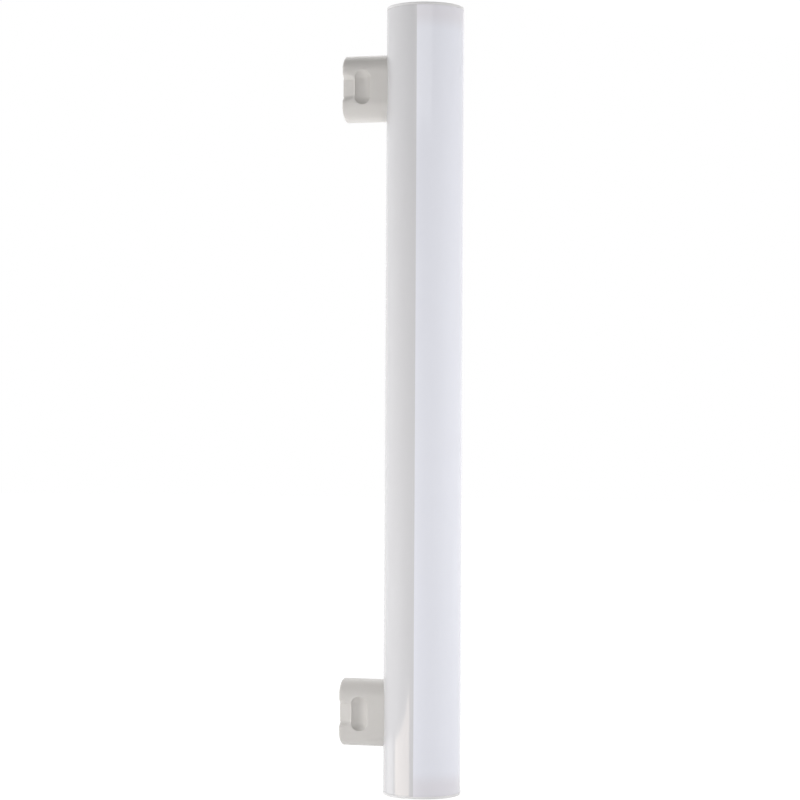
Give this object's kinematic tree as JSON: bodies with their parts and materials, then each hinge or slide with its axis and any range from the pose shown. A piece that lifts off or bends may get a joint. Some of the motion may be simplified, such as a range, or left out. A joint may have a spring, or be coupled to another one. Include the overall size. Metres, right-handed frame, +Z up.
{
  "type": "tubular light bulb",
  "caption": "Straight opal lamp tube with flat closed ends and a racetrack side peg base near each end, each peg with spring detents, lead-in ramps and a recessed contact.",
  "frame": {"origin": "centre of the lower end face, on the tube's axis", "axes": "+Z up along the tube, -X out along the peg bases towards the lampholders, +X the side the light leaves"},
  "size_m": [0.046, 0.0294, 0.3],
  "materials": {
    "opal_tube": "extruded opal polycarbonate, glossy",
    "white_end_cap": "moulded white plastic, semi-gloss",
    "base_moulding": "moulded warm grey plastic, satin",
    "plated_contact": "nickel plated"
  },
  "bodies": {
    "root": {"tube": "opal_tube", "lower_end_cap": "white_end_cap", "upper_end_cap": "white_end_cap", "lower_peg_base": "base_moulding", "upper_peg_base": "base_moulding", "lower_contact": "plated_contact", "upper_contact": "plated_contact"}
  },
  "joints": []
}
